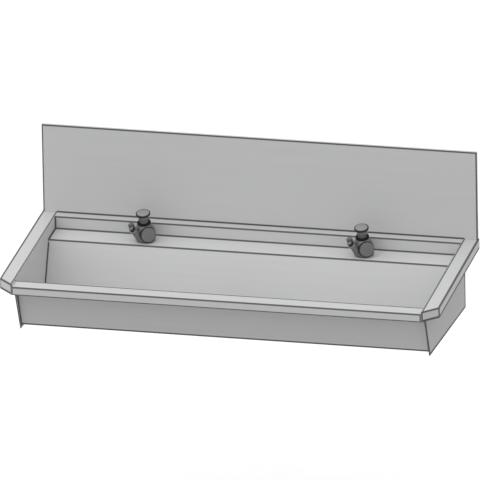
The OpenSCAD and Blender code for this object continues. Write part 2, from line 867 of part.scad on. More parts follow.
module tap_nut(side) {
    color(brass) at_tap(side) hex_nut(tap_nut_af, tap_tail_r + fit_gap, nut_head - tap_nut_t, nut_head);
}

// Shallow round cap on the front of the body, on a spigot
module front_cap(side) {
    edge = cap_t / 3;
    color(steel_dark) at_tap(side) along_cap() translate([0, 0, cap_seat]) {
        translate([0, 0, -cap_spigot_len]) cylinder(r = cap_spigot_r, h = cap_spigot_len);
        cylinder(r = cap_r, h = cap_t - edge);
        translate([0, 0, cap_t - edge]) cylinder(r1 = cap_r, r2 = cap_r - edge, h = edge);
    }
}

// Ring at the end of the spout that the water leaves by
module outlet_ring(side) {
    edge = 1;
    color(steel) at_tap(side) along_spout() difference() {
        union() {
            translate([0, 0, spout_len]) cylinder(r = outlet_r, h = outlet_len - edge);
            translate([0, 0, spout_len + outlet_len - edge])
                cylinder(r1 = outlet_r, r2 = outlet_r - edge, h = edge);
        }
        translate([0, 0, spout_len - cut]) cylinder(r = jet_r + fit_gap, h = outlet_len + 2 * cut);
    }
}

// Small bright jet inside the outlet ring
module jet(side) {
    color(steel) at_tap(side) along_spout()
        ring(jet_r, jet_bore_r, spout_len, spout_len + outlet_len - jet_in);
}

// Half tube with an arched top, standing on z = 0 and open towards +x
module hood_shield() {
    straight_h = hood_len - hood_top_r;
    intersection() {
        difference() {
            cylinder(r = hood_r, h = hood_len);
            translate([0, 0, -cut]) cylinder(r = hood_r - hood_t, h = hood_len + 2 * cut);
            translate([-hood_r / 4, -hood_r - cut, -cut])
                cube([2 * hood_r, 2 * (hood_r + cut), hood_len + 2 * cut]);
        }
        union() {
            translate([-hood_r - cut, -hood_r - cut, -cut])
                cube([2 * (hood_r + cut), 2 * (hood_r + cut), straight_h + cut]);
            translate([-hood_r - cut, 0, straight_h])
                rotate([0, 90, 0]) cylinder(r = hood_top_r, h = 2 * (hood_r + cut));
        }
    }
}

// Hood that stands up behind the outlet, on a ring round the end of the spout
module spout_hood(side) {
    ring_foot = spout_len - hood_ring_h;
    color(steel) at_tap(side) along_spout() difference() {
        union() {
            translate([0, 0, ring_foot]) cylinder(r = hood_r, h = hood_ring_h);
            translate([0, 0, spout_len]) rotate(hood_turn) rotate([0, -hood_lean, 0]) hood_shield();
        }
        translate([0, 0, ring_foot - cut]) cylinder(
            r1 = spout_r(ring_foot - cut) + fit_gap,
            r2 = spout_tip_r + fit_gap,
            h = hood_ring_h + cut
        );
        translate([0, 0, spout_len - cut]) cylinder(r = outlet_r + stop_gap, h = hood_len);
    }
}

module collar(side) {
    edge = 1;
    color(rubber) at_tap(side) leaning() difference() {
        union() {
            translate([0, 0, tap_body_h]) cylinder(r = collar_r, h = collar_h - edge);
            translate([0, 0, collar_top - edge]) cylinder(r1 = collar_r, r2 = collar_r - edge, h = edge);
        }
        translate([0, 0, tap_body_h - cut]) cylinder(r = neck_r + fit_gap, h = collar_h + 2 * cut);
    }
}

// Head of the valve: the neck and the chamber that holds the spring
module valve_head(side) {
    color(steel_dark) at_tap(side) leaning() difference() {
        translate([0, 0, chamber_foot]) cylinder(r = neck_r, h = neck_top - chamber_foot);
        translate([0, 0, spring_foot]) cylinder(r = chamber_r, h = spring_h + piston_t + stop_gap);
        translate([0, 0, chamber_foot - cut]) cylinder(r = stem_r + fit_gap, h = neck_top);
    }
}

// Seat below the valve head that the stem opens
module valve_seat(side) {
    color(brass) at_tap(side) difference() {
        leaning() difference() {
            translate([0, 0, seat_foot]) cylinder(r = seat_r, h = chamber_foot - seat_foot);
            translate([0, 0, stem_foot - button_travel - stem_room])
                cylinder(r = stem_r + 2 * hole_gap, h = tap_body_h);
            translate([0, 0, seat_foot - cut]) cylinder(r = seat_bore_r, h = tap_body_h);
        }
        outlet_port();
    }
}

// Round wire wound round the z axis, from z0 up over the height h
wire_sides = 8;
turn_steps = 20;
module coil(r, wire_r, turns, z0, h) {
    steps = turns * turn_steps;
    rise = h - 2 * wire_r;
    points = [for (i = [0:steps]) for (j = [0:wire_sides - 1])
        let (
            round_angle = 360 * i / turn_steps,
            wire_angle = 360 * j / wire_sides,
            reach = r + wire_r * cos(wire_angle)
        )
        [reach * cos(round_angle), reach * sin(round_angle),
            z0 + wire_r + rise * i / steps + wire_r * sin(wire_angle)]];
    sides = [for (i = [0:steps - 1]) for (j = [0:wire_sides - 1])
        let (
            next = (j + 1) % wire_sides,
            here = i * wire_sides,
            there = here + wire_sides
        )
        [here + j, there + j, there + next, here + next]];
    start = [for (j = [0:wire_sides - 1]) j];
    end = [for (j = [wire_sides - 1:-1:0]) steps * wire_sides + j];
    polyhedron(points, concat(sides, [start, end]));
}

module spring(side) {
    color(steel) at_tap(side) leaning()
        coil(chamber_r - 2 * spring_wire_r, spring_wire_r, spring_turns, spring_foot, spring_h);
}

// Stem from the push button to the valve seat, with the piston that the spring lifts
module stem(side) {
    color(brass) at_tap(side) leaning() {
        translate([0, 0, stem_foot]) cylinder(r = stem_r, h = button_z - stem_foot);
        translate([0, 0, spring_top]) cylinder(r = chamber_r - fit_gap, h = piston_t);
    }
}

// Push button: a shallow dome on a sleeve that passes down over the neck
module push_button(side) {
    dome_foot = button_z + button_edge_h;
    dome_r = (pow(button_r, 2) + pow(button_dome_h, 2)) / (2 * button_dome_h);
    color(steel_dark) at_tap(side) leaning() {
        translate([0, 0, button_z]) cylinder(r = button_r, h = button_edge_h);
        intersection() {
            translate([0, 0, dome_foot + button_dome_h - dome_r]) sphere(r = dome_r, $fn = 144);
            translate([0, 0, dome_foot]) cylinder(r = button_r, h = button_dome_h);
        }
        ring(sleeve_r, neck_r + sleeve_gap, button_z - sleeve_len, button_z);
    }
}

// One solid plate under the ledge for each tap
module tap_back_plates() {
    color(galvanised) for (side = [-1, 1])
        at_tap(side) difference() {
            translate([-back_plate_w / 2, -back_plate_d / 2, plate_foot])
                cube([back_plate_w, back_plate_d, back_plate_t]);
            translate([0, 0, plate_foot - cut]) cylinder(r = tap_hole_r, h = back_plate_t + 2 * cut);
        }
}

module left_tap_body() { tap_body(-1); }
module left_tap_seal() { tap_seal(-1); }
module left_tap_washer() { tap_washer(-1); }
module left_tap_nut() { tap_nut(-1); }
module left_front_cap() { front_cap(-1); }
module left_outlet_ring() { outlet_ring(-1); }
module left_jet() { jet(-1); }
module left_spout_hood() { spout_hood(-1); }
module left_collar() { collar(-1); }
module left_valve_head() { valve_head(-1); }
module left_valve_seat() { valve_seat(-1); }
module left_spring() { spring(-1); }
module left_stem() { stem(-1); }
module left_push_button() { push_button(-1); }
module right_tap_body() { tap_body(1); }
module right_tap_seal() { tap_seal(1); }
module right_tap_washer() { tap_washer(1); }
module right_tap_nut() { tap_nut(1); }
module right_front_cap() { front_cap(1); }
module right_outlet_ring() { outlet_ring(1); }
module right_jet() { jet(1); }
module right_spout_hood() { spout_hood(1); }
module right_collar() { collar(1); }
module right_valve_head() { valve_head(1); }
module right_valve_seat() { valve_seat(1); }
module right_spring() { spring(1); }
module right_stem() { stem(1); }
module right_push_button() { push_button(1); }

tap_ledge();
basin();
front_rim();
splashback();
left_end_panel();
right_end_panel();
left_end_rim();
right_end_rim();
left_wall_bracket();
right_wall_bracket();
floor_studs();
stud_washers();
stud_nuts();
sound_pads();
waste_body();
waste_seal();
waste_grate();
grate_screw();
waste_washer();
waste_nut();
tap_back_plates();
left_tap_body();
left_tap_seal();
left_tap_washer();
left_tap_nut();
left_front_cap();
left_outlet_ring();
left_jet();
left_spout_hood();
left_collar();
left_valve_head();
left_valve_seat();
left_spring();
left_stem();
left_push_button();
right_tap_body();
right_tap_seal();
right_tap_washer();
right_tap_nut();
right_front_cap();
right_outlet_ring();
right_jet();
right_spout_hood();
right_collar();
right_valve_head();
right_valve_seat();
right_spring();
right_stem();
right_push_button();
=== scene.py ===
import json
import math

import bpy
from mathutils import Matrix, Vector


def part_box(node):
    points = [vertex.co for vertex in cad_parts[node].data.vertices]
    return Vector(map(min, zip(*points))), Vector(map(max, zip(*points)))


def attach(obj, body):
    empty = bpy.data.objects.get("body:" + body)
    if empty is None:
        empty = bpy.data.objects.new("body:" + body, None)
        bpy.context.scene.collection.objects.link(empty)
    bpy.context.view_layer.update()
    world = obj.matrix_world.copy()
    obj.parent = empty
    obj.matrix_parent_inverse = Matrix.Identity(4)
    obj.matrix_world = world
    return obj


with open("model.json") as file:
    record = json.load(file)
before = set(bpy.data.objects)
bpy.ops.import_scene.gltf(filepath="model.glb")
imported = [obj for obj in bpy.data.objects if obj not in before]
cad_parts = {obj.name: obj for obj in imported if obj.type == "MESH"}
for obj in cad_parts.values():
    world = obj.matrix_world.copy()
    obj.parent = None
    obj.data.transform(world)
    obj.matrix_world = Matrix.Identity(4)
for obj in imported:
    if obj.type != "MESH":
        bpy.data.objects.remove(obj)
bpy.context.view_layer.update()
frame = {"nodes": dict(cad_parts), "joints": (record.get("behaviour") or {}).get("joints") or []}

bl_info = {
    "name": "Wash trough dresser",
    "version": (1, 0, 0),
    "blender": (4, 5, 0),
    "location": "3D View > Sidebar > Wash trough",
    "description": "Finishes, threads and welds for a wall-hung wash trough, and a plain stage",
    "category": "Object",
}

# ---- Places on the trough, in metres ----

# The boxes come from the CAD frame.
SIDES = {"left": -1, "right": 1}
SPLASH_LOW, SPLASH_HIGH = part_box("splashback")
RIM_LOW, RIM_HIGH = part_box("right_end_rim")
PANEL_LOW, PANEL_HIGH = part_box("right_end_panel")
FACE_Y = SPLASH_LOW.y
RIM_Z = RIM_HIGH.z
NOSE_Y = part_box("front_rim")[0].y
FRONT_RIM_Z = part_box("front_rim")[1].z
LEDGE_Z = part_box("left_tap_seal")[0].z
SHEET_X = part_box("tap_ledge")[1].x
PANEL_X = PANEL_HIGH.x
RIM_WIDTH = RIM_HIGH.x - PANEL_X

# The folds, which no box gives, have the sizes of the CAD solids.
SHEET_T = 0.0015
STRIP_DEPTH = 0.0325
LEDGE_DEPTH = 0.079
FRONT_RIM_DEPTH = 0.048
NOSE_HEIGHT = 0.0235
NOSE_LIP = 0.012
FLOOR_FRONT_DROP = 0.152
FLOOR_FOLD_R = 0.012
PANEL_BELOW = 0.010
PANEL_AHEAD = 0.010
REAR_LEAN = math.radians(25.6)
FRONT_LEAN = math.radians(20.3)
FLOOR_FALL = math.radians(4.8)
PANEL_LEAN = math.radians(24.5)

STRIP_Y = FACE_Y - STRIP_DEPTH
LEDGE_Y = STRIP_Y - LEDGE_DEPTH
WALL_TOP_Y = NOSE_Y + FRONT_RIM_DEPTH
NOSE_FOOT_Z = FRONT_RIM_Z - NOSE_HEIGHT
FLOOR_FRONT_Z = RIM_Z - FLOOR_FRONT_DROP
FLOOR_FRONT_Y = WALL_TOP_Y + (FRONT_RIM_Z - FLOOR_FRONT_Z) * math.tan(FRONT_LEAN)
PANEL_TIP_Z = FLOOR_FRONT_Z - PANEL_BELOW
PANEL_TIP_Y = FLOOR_FRONT_Y - PANEL_AHEAD + PANEL_BELOW * math.tan(PANEL_LEAN)

# Where the dark lines leave the folds: moved inwards to be seen whole, side by side on the outer
# face of a panel, and turned round the fold between floor and front wall.
LINE_INSET = 0.0025
PANEL_LINE_STEP = 0.007
FOLD_TURNS = (math.radians(38), math.radians(50), math.radians(62))

# Studs, tails and their threads.
STUD_X = 0.4
STUD_REAR_DEPTH = 0.222
STUD_PITCH = 0.095
STUD_LENGTH = 0.020
STUD_R = 0.004
STUD_BARE = 0.0075
STUD_THREAD = 0.00125
TAIL_GROOVE = 0.002
TAP_TAIL_R = 0.01048
TAP_THREAD = 0.001814
WASTE_TAIL_R = 0.0239
WASTE_THREAD = 0.002309


def floor_z(y):
    """Height of the basin's floor at a place y."""
    return FLOOR_FRONT_Z - (y - FLOOR_FRONT_Y) * math.tan(FLOOR_FALL)


def floor_rear():
    """Where the floor meets the rear wall, in section."""
    drop = LEDGE_Z - floor_z(LEDGE_Y)
    run = drop * math.tan(REAR_LEAN) / (1 + math.tan(FLOOR_FALL) * math.tan(REAR_LEAN))
    return LEDGE_Y - run, floor_z(LEDGE_Y - run)


def floor_fold(turn):
    """A place on the outside of the fold between floor and front wall, turned below the level."""
    toward_rear = Vector((math.cos(FLOOR_FALL), -math.sin(FLOOR_FALL)))
    up_wall = Vector((-math.sin(FRONT_LEAN), math.cos(FRONT_LEAN)))
    half = toward_rear.angle(up_wall) / 2
    to_centre = (toward_rear + up_wall).normalized() * FLOOR_FOLD_R / math.sin(half)
    centre = Vector((FLOOR_FRONT_Y, FLOOR_FRONT_Z)) + to_centre
    outward = Vector((-math.cos(turn), -math.sin(turn))) * (FLOOR_FOLD_R + SHEET_T)
    return tuple(centre + outward)


# Lines are given for the right hand half, x > 0, and the other half mirrors them.


def across(place):
    """A fold that runs the width of the trough, at a place (y, z)."""
    return Vector((0, *place)), Vector((SHEET_X, *place))


def joined(points):
    """Lines that join points one after another."""
    return [(Vector(first), Vector(second)) for first, second in zip(points, points[1:])]


def end_joint(places):
    """The joint of a folded sheet with the end panel, through places (y, z)."""
    return joined([(SHEET_X, *place) for place in places])


LEDGE_FOLDS = [(FACE_Y, RIM_Z), (STRIP_Y, RIM_Z), (STRIP_Y, LEDGE_Z), (LEDGE_Y, LEDGE_Z)]
RIM_FOLDS = [
    (WALL_TOP_Y, FRONT_RIM_Z),
    (NOSE_Y, FRONT_RIM_Z),
    (NOSE_Y, NOSE_FOOT_Z),
    (NOSE_Y + NOSE_LIP, NOSE_FOOT_Z),
]
BASIN_ENDS = [LEDGE_FOLDS[3], floor_rear(), (FLOOR_FRONT_Y, FLOOR_FRONT_Z), RIM_FOLDS[0]]


def ledge_lines():
    return [across(place) for place in LEDGE_FOLDS] + end_joint(LEDGE_FOLDS[1:])


def basin_lines():
    folds = [LEDGE_FOLDS[3], RIM_FOLDS[0]] + [floor_fold(turn) for turn in FOLD_TURNS]
    return [across(place) for place in folds] + end_joint(BASIN_ENDS)


def front_rim_lines():
    top_rear = (WALL_TOP_Y - LINE_INSET, FRONT_RIM_Z)
    return [across(place) for place in [top_rear] + RIM_FOLDS[1:]] + end_joint(RIM_FOLDS[1:3])


def splashback_lines():
    low, high = SPLASH_LOW, SPLASH_HIGH
    top = joined([(0, low.y, high.z), (high.x, low.y, high.z), (high.x, low.y, low.z)])
    return top + [across((low.y, low.z))]


def end_rim_lines():
    """Top outline, lower edge and corners of an end rim."""

    def outline(z, inset=0):
        outer = RIM_HIGH.x - inset
        return [
            (PANEL_X, FACE_Y, z),
            (PANEL_X, RIM_LOW.y + inset, z),
            (outer, RIM_LOW.y + RIM_WIDTH, z),
            (outer, RIM_HIGH.y, z),
        ]

    top, foot = outline(RIM_HIGH.z), outline(RIM_LOW.z)
    corners = [(Vector(top[i]), Vector(foot[i])) for i in (1, 2)]
    upper_edge = joined(outline(RIM_HIGH.z, LINE_INSET / 2))
    lower_edge = joined(outline(RIM_LOW.z + LINE_INSET))
    return upper_edge + lower_edge + corners


def panel_edge(inward=0, upward=0):
    """Places along the front, lower and rear edges of an end panel, or a little inside them."""
    under_nose = PANEL_TIP_Y - (NOSE_FOOT_Z - PANEL_TIP_Z) * math.tan(PANEL_LEAN)
    return [
        (PANEL_X, under_nose + inward, NOSE_FOOT_Z),
        (PANEL_X, PANEL_TIP_Y + inward, PANEL_TIP_Z + upward),
        (PANEL_X, PANEL_HIGH.y - inward, PANEL_LOW.z + upward),
        (PANEL_X, PANEL_HIGH.y - inward, RIM_Z),
    ]


def panel_lines():
    """Edges of an end panel, from its top corner between the rims."""
    behind_nose = [(PANEL_X, RIM_LOW.y, RIM_Z), (PANEL_X, RIM_LOW.y, NOSE_FOOT_Z)]
    return joined(behind_nose + panel_edge())


# ---- Shader nodes ----

# The Mix node's colour sockets share their names with its others, so they go by number.
MIX_FIRST, MIX_SECOND, MIX_RESULT = 6, 7, 2
BUMP_SAMPLES = 4
EDGE_SAMPLES = 6
EDGE_COSINES = (0.995, 0.9)


class Value:
    """A number in a node tree. Arithmetic on it adds Math nodes."""

    def __init__(self, tree, socket):
        self.tree = tree
        self.socket = socket

    def maths(self, operation, *terms, clamped=False):
        node = self.tree.nodes.new("ShaderNodeMath")
        node.operation = operation
        node.use_clamp = clamped
        for term, socket in zip(terms, node.inputs):
            plug(self.tree, term, socket)
        return Value(self.tree, node.outputs[0])

    def __add__(self, other):
        return self.maths("ADD", self, other)

    def __radd__(self, other):
        return self.maths("ADD", other, self)

    def __sub__(self, other):
        return self.maths("SUBTRACT", self, other)

    def __rsub__(self, other):
        return self.maths("SUBTRACT", other, self)

    def __mul__(self, other):
        return self.maths("MULTIPLY", self, other)

    def __rmul__(self, other):
        return self.maths("MULTIPLY", other, self)

    def clamped(self):
        return self.maths("ADD", self, 0, clamped=True)

    def absolute(self):
        return self.maths("ABSOLUTE", self)

    def sign(self):
        return self.maths("SIGN", self)

    def sine(self):
        return self.maths("SINE", self)

    def lesser(self, other):
        return self.maths("MINIMUM", self, other)

    def greater(self, other):
        return self.maths("MAXIMUM", self, other)


def plug(tree, source, socket):
    """Links a socket or a Value, or sets a plain number, vector or colour."""
    if isinstance(source, Value):
        source = source.socket
    if isinstance(source, bpy.types.NodeSocket):
        tree.links.new(source, socket)
        return
    if isinstance(source, (tuple, Vector)) and socket.type == "RGBA" and len(source) == 3:
        source = (*source, 1)
    socket.default_value = source


class Nodes:
    """Adds nodes to one tree."""

    def __init__(self, tree):
        self.tree = tree

    def add(self, kind, settings=None, inputs=None):
        """One node, its settings set first, then its inputs."""
        made = self.tree.nodes.new("ShaderNode" + kind)
        for name, setting in (settings or {}).items():
            setattr(made, name, setting)
        for name, source in (inputs or {}).items():
            plug(self.tree, source, made.inputs[name])
        return made

    def node(self, kind, settings=None, inputs=None, output=0):
        """One output of a new node, numbers as a Value."""
        socket = self.add(kind, settings, inputs).outputs[output]
        return Value(self.tree, socket) if socket.type == "VALUE" else socket

    def vector(self, operation, *terms, output=0):
        return self.node("VectorMath", {"operation": operation}, dict(enumerate(terms)), output)

    def scaled(self, vector, factor):
        return self.node("VectorMath", {"operation": "SCALE"}, {0: vector, "Scale": factor})

    def place(self):
        """Where a point lies on the object, in metres."""
        return self.node("TexCoord", output="Object")

    def split(self, vector):
        """The x, y and z of a vector."""
        parts = self.add("SeparateXYZ", {}, {"Vector": vector})
        return [Value(self.tree, output) for output in parts.outputs]

    def joined(self, x, y, z):
        return self.node("CombineXYZ", {}, {"X": x, "Y": y, "Z": z})

    def noise(self, stretch, detail=2.0, shift=(0, 0, 0)):
        """Noise from 0 to 1, with a scale per metre along each axis."""
        place = self.vector("MULTIPLY_ADD", self.place(), stretch, shift)
        return self.node("TexNoise", {}, {"Vector": place, "Scale": 1.0, "Detail": detail})

    def mix(self, factor, first, second):
        inputs = {"Factor": factor, MIX_FIRST: first, MIX_SECOND: second}
        return self.node("Mix", {"data_type": "RGBA"}, inputs, MIX_RESULT)

    def ramp(self, value, low, high):
        """0 where the value is at low, and 1 where it is at high, with soft ends."""
        inputs = {"Value": value, "From Min": low, "From Max": high, "To Min": 0, "To Max": 1}
        return self.node("MapRange", {"interpolation_type": "SMOOTHSTEP"}, inputs)

    def half_place(self):
        """The place of a point, with both halves of the trough folded onto x > 0."""
        x, y, z = self.split(self.place())
        return self.joined(x.absolute(), y, z)

    def reach(self, lines):
        """Distance from a point to the nearest of some straight lines."""
        place = self.half_place()
        nearest = None
        for start, end in lines:
            run = end - start
            slope = run / run.length_squared
            offset = self.vector("SUBTRACT", place, start)
            share = self.vector("DOT_PRODUCT", offset, slope, output="Value").clamped()
            away = self.vector("DISTANCE", offset, self.scaled(run, share), output="Value")
            nearest = away if nearest is None else nearest.lesser(away)
        return nearest

    def from_axis(self, place, start, axis):
        """How far a point lies along an axis from its start, and how far out from it."""
        offset = self.vector("SUBTRACT", place, start)
        along = self.vector("DOT_PRODUCT", offset, axis, output="Value")
        out = self.vector("DISTANCE", offset, self.scaled(axis, along), output="Value")
        return along, out


class Finish(Nodes):
    """A material: a Principled shader and the nodes that feed it."""

    def __init__(self, name, colour, **settings):
        self.material = bpy.data.materials.new(name)
        self.material.use_nodes = True
        super().__init__(self.material.node_tree)
        self.shader = self.tree.nodes["Principled BSDF"]
        plug(self.tree, colour, self.shader.inputs["Base Color"])
        for setting, value in settings.items():
            plug(self.tree, value, self.shader.inputs[setting.replace("_", " ")])

    def feed(self, socket, source):
        plug(self.tree, source, self.shader.inputs[socket])

    def bump(self, height, depth, radius=0.0):
        """Bump of a depth in metres, on edges rounded by a radius."""
        inputs = {"Height": height, "Distance": depth, "Strength": 1.0}
        if radius:
            inputs["Normal"] = self.node("Bevel", {"samples": BUMP_SAMPLES}, {"Radius": radius})
        self.feed("Normal", self.node("Bump", {}, inputs))

    def edges(self, radius):
        """1 on the sharp edges of a piece, and 0 away from them."""
        rounded = self.node("Bevel", {"samples": EDGE_SAMPLES}, {"Radius": radius})
        flat = self.node("NewGeometry", output="Normal")
        cosine = self.vector("DOT_PRODUCT", rounded, flat, output="Value")
        return self.ramp(cosine, *EDGE_COSINES)


def give(finish, *names):
    """Gives a finish to CAD nodes."""
    for name in names:
        for slot in frame["nodes"][name].material_slots:
            slot.link = "OBJECT"
            slot.material = finish.material


# ---- Finishes ----

DARK = (0.035, 0.036, 0.038)
BLACKED = (0.012, 0.012, 0.013)
STEEL = (0.5, 0.505, 0.51)
BRASS = (0.6, 0.44, 0.19)
FELT = (0.03, 0.03, 0.03)
FELT_TOPS = (0.05, 0.05, 0.052)
FELT_PITS = (0.018, 0.018, 0.018)
ZINC = (0.42, 0.44, 0.46)
DARK_ZINC = (0.34, 0.36, 0.38)
PALE_ZINC = (0.5, 0.52, 0.54)

# Distances at which a mark begins and is whole, as shares of its width.
LINE_FADE = (0.62, 0.38)
RING_FADE = (0.7, 0.3)

# Scales of the sheets' patterns, per metre along x, y and z, for each way that the grain can run.
SHEET_GRAIN = {"X": (4, 900, 900), "Y": (900, 4, 900)}
SHEET_STREAKS = {"X": (0.9, 60, 60), "Y": (60, 0.9, 60)}
SHEET_CLOUDS = (5, 5, 5)

# How far each pattern moves a sheet from its darker shade, 0, towards its lighter one, 1.
SHEET_TONE = 0.45
GRAIN_SHARE = 0.33
STREAK_SHARE = 0.2
CLOUD_SHARE = 0.07
# Painted light on level faces inside the trough:
TOP_LIGHT_SHARE = 0.5
# Painted shade on the outer faces of the end panels:
OUTER_PAINTED_SHADE = 0.4

SHEET_SHADES = 0.12
SHEET_GLOSS = 0.2
PANEL_GLOSS = 0.05
SHEET_ROUGHNESS = 0.44
SHEET_METALLIC = 0.1
SHEET_BUMP = 0.00002
SHEET_EDGE = SHEET_T * 0.8
# Painted shade on the sharp edges of sheets that are not welded all round.
EDGE_SHADE = 0.8

# A face gets painted light as the upward part of its normal grows and as it lies deeper below the
# rims.
LEVEL_UP = (0.8, 0.95)
TOP_LIGHT_DEPTH = (0.01, 0.02)

# Where an end panel changes from its inner face to its outer one.
PANEL_MIDDLE = (SHEET_X + SHEET_T * 0.4, SHEET_X + SHEET_T * 0.6)

# What a dark line does to the finish under it, and what grain adds to its roughness.
# The dark lines are painted shade along folds and edges, and dark joints where sheets meet an end
# panel.
LINE_COVER = 0.85
LINE_ROUGHNESS = 0.2
LINE_METALLIC = 0.08
GRAIN_ROUGHNESS = 0.1


def shades(colour, change):
    """A darker and a lighter shade of a colour."""
    darker = tuple(channel * (1 - change) for channel in colour)
    lighter = tuple(min(1.0, channel * (1 + change)) for channel in colour)
    return darker, lighter


def faded(finish, distance, width, fade):
    """1 near a mark, falling to 0 beside it."""
    begins, whole = fade
    return finish.ramp(distance, width * begins, width * whole)


def fold_mark(finish, lines, width):
    """1 along some lines, fading to 0 beside them."""
    return faded(finish, finish.reach(lines), width, LINE_FADE)


def ring_mark(finish, distance, radius, width):
    """1 on a ring of a radius and a width, fading to 0 on both sides."""
    return faded(finish, (distance - radius).absolute(), width, RING_FADE)


def satin_sheet(
    name, steel, grain, lines, line_width, welded=False, by_face=None, gloss=SHEET_GLOSS
):
    """Satin stainless sheet with its grain along one axis and dark lines of painted shade along
    its folds.

    Level faces inside the trough get painted light. A sheet that is welded all round has no
    painted shade on its edges. An end panel has lines by face: some that show only on its inner
    face, and some only on its outer face, which gets painted shade."""
    finish = Finish(name, steel, Specular_IOR_Level=gloss)
    fine = finish.noise(SHEET_GRAIN[grain], detail=3.0)
    streak = finish.noise(SHEET_STREAKS[grain], detail=3.0, shift=(3, 1, 7))
    cloud = finish.noise(SHEET_CLOUDS, shift=(1, 9, 4))
    x, _, z = finish.split(finish.half_place())
    up = finish.split(finish.node("NewGeometry", output="Normal"))[2]
    inside_trough = finish.ramp(z, *(RIM_Z - depth for depth in TOP_LIGHT_DEPTH))
    # Painted light: level faces inside the trough are made lighter, as light from above would make
    # them.
    painted_top_light = finish.ramp(up, *LEVEL_UP) * inside_trough
    tone = SHEET_TONE + (fine - 0.5) * GRAIN_SHARE + (streak - 0.5) * STREAK_SHARE
    tone = tone + (cloud - 0.5) * CLOUD_SHARE + painted_top_light * TOP_LIGHT_SHARE
    # Painted shade: dark lines along the folds and edges. Where a sheet meets an end panel, the
    # line is a dark joint.
    line = fold_mark(finish, lines, line_width)
    if by_face:
        outside = finish.ramp(x, *PANEL_MIDDLE)
        inner, outer = (fold_mark(finish, face_lines, line_width) for face_lines in by_face)
        line = line.greater(inner * (1 - outside)).greater(outer * outside)
        # Painted shade: the outer face of an end panel is made darker.
        tone = tone - outside * OUTER_PAINTED_SHADE
    sheet = finish.mix(tone, *shades(steel, SHEET_SHADES))
    # Painted shade on the sharp edges, where no weld covers them.
    mark = line if welded else line.greater(finish.edges(SHEET_EDGE) * EDGE_SHADE)
    finish.feed("Base Color", finish.mix(mark * LINE_COVER, sheet, DARK))
    rough = SHEET_ROUGHNESS + fine * GRAIN_ROUGHNESS + mark * LINE_ROUGHNESS
    finish.feed("Roughness", rough)
    finish.feed("Metallic", SHEET_METALLIC - mark * LINE_METALLIC)
    finish.bump(fine, SHEET_BUMP)
    return finish


# ---- Taps, placed from the foot of each on the ledge ----

TAP_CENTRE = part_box("right_tap_seal")[0].lerp(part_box("right_tap_seal")[1], 0.5)
TAP_X = TAP_CENTRE.x
TAP_Y = TAP_CENTRE.y
PRESS = Vector(frame["joints"][0]["axis"])

# The button's axis runs up from the centre of the belly.
BELLY = Vector((0, 0, 0.017))
BUTTON_R = 0.0195
BUTTON_FOOT = 0.0805
BUTTON_EDGE_H = 0.0045
SLEEVE_FOOT = 0.0665
CAP_R = 0.021
CAP_SEAT = 0.026
CAP_Z = 0.0215
CAP_TURN = math.radians(30)
CAP_TILT = math.radians(8)
SPOUT_TURN = math.radians(42)
SPOUT_RISE = math.radians(47)
JET_LENGTH = 0.007
JET_BORE_R = 0.002

CAP_FRONT = (CAP_SEAT * 0.6, CAP_SEAT * 0.8)
CAP_LINE = 0.0026
FOOT_LINE = (0.004, 0.001)
TAP_EDGE = 0.0012
TAP_ROUNDING = 0.0006
TAP_GRAIN = (700, 700, 700)
TAP_CLOUDS = (60, 60, 60)
TAP_SHARE = 0.3
TAP_SHADES = 0.2
TAP_METALLIC = 0.5
TAP_ROUGHNESS = 0.36
TAP_BUMP = 0.00003

DOME_STEP = 0.001
DOME_RIM = (0.0022, 0.0036)
BUTTON_LINE = 0.0015
SLEEVE_LINE = 0.0024
BUTTON_GRAIN = (900, 900, 900)
BUTTON_RINGS = 5200.0
BUTTON_SHADES = 0.12
BUTTON_COVER = 0.9
BUTTON_ROUGHNESS = 0.38
BUTTON_BUMP = 0.00002


def heading(turn, rise):
    """Direction turned to the right of straight ahead and raised above the level."""
    return Vector((
        math.sin(turn) * math.cos(rise),
        -math.cos(turn) * math.cos(rise),
        math.sin(rise),
    ))


def on_tap(finish):
    """The place of a point, from the foot of the tap that it lies on."""
    x, y, z = finish.split(finish.place())
    return finish.joined(x - x.sign() * TAP_X, y - TAP_Y, z - LEDGE_Z)


def tap_metal(name, colour):
    """Dark satin chrome, with painted shade on its sharp edges, round the front cap and at the
    foot.
    """
    finish = Finish(name, colour, Metallic=TAP_METALLIC)
    place = on_tap(finish)
    along, out = finish.from_axis(place, Vector((0, 0, CAP_Z)), heading(CAP_TURN, CAP_TILT))
    cap_edge = ring_mark(finish, out, CAP_R, CAP_LINE) * finish.ramp(along, *CAP_FRONT)
    height = finish.split(place)[2]
    foot = finish.ramp(height, *FOOT_LINE) * finish.ramp(height, -SHEET_T, 0)
    grain = finish.noise(TAP_GRAIN)
    cloud = finish.noise(TAP_CLOUDS, shift=(2, 5, 1))
    tone = 0.5 + (grain - 0.5) * TAP_SHARE + (cloud - 0.5) * TAP_SHARE
    metal = finish.mix(tone, *shades(colour, TAP_SHADES))
    # Painted shade: dark on the sharp edges, round the edge of the front cap and at the foot on
    # the ledge.
    mark = finish.edges(TAP_EDGE).greater(cap_edge).greater(foot)
    finish.feed("Base Color", finish.mix(mark * LINE_COVER, metal, BLACKED))
    finish.feed("Roughness", TAP_ROUGHNESS + grain * GRAIN_ROUGHNESS + mark * LINE_ROUGHNESS)
    finish.bump(grain, TAP_BUMP, TAP_ROUNDING)
    return finish


